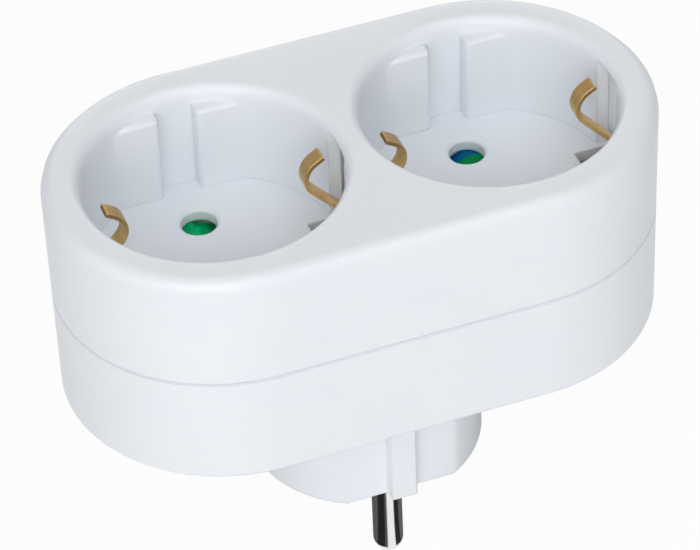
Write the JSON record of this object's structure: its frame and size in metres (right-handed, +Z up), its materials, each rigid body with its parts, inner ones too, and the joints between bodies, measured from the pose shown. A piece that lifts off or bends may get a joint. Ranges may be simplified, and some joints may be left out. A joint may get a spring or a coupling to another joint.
{
  "type": "multi socket adapter",
  "caption": "Oval mains adapter with round recessed sockets on top, shuttered pin holes and sprung earth clips, over a round earthed plug with solid pins.",
  "frame": {"origin": "centre of the plug's face", "axes": "+Z up from the plug to the sockets, X from one socket to the other, Y along the line of the pins"},
  "size_m": [0.0944, 0.0516, 0.078],
  "materials": {
    "white_moulding": "satin",
    "nickel_pin": "nickel plated, polished",
    "brass_strip": "stamped, satin",
    "nickel_strip": "nickel plated, satin",
    "green_moulding": "satin",
    "grey_moulding": "moulded",
    "spring_steel": "bright strip",
    "zinc_screw": "zinc plated"
  },
  "bodies": {
    "housing": {"upper_housing": "white_moulding", "lower_housing": "white_moulding", "plug_pin_line": "nickel_pin", "plug_pin_neutral": "nickel_pin", "busbar_line": "brass_strip", "busbar_neutral": "brass_strip", "earth_rail": "brass_strip", "earth_clip_left_outer": "brass_strip", "earth_clip_left_inner": "brass_strip", "earth_clip_right_outer": "brass_strip", "earth_clip_right_inner": "brass_strip", "plug_earth_contact_left": "nickel_strip", "plug_earth_contact_right": "nickel_strip", "shutter_tray_left": "grey_moulding", "shutter_tray_right": "grey_moulding", "shutter_spring_left": "spring_steel", "shutter_spring_right": "spring_steel", "housing_screws": "zinc_screw"},
    "shutter_left": {"shutter_left": "green_moulding"},
    "shutter_right": {"shutter_right": "green_moulding"}
  },
  "joints": [
    {"name": "shutter_left_slide", "type": "slide", "parent": "housing", "child": "shutter_left", "axis": [-1, 0, 0], "range_m": [0, 0.0058], "stiffness_N_per_m": 100, "springref_m": -0.004, "deforming": ["shutter_spring_left"]},
    {"name": "shutter_right_slide", "type": "slide", "parent": "housing", "child": "shutter_right", "axis": [1, 0, 0], "range_m": [0, 0.0058], "stiffness_N_per_m": 100, "springref_m": -0.004, "deforming": ["shutter_spring_right"]}
  ]
}
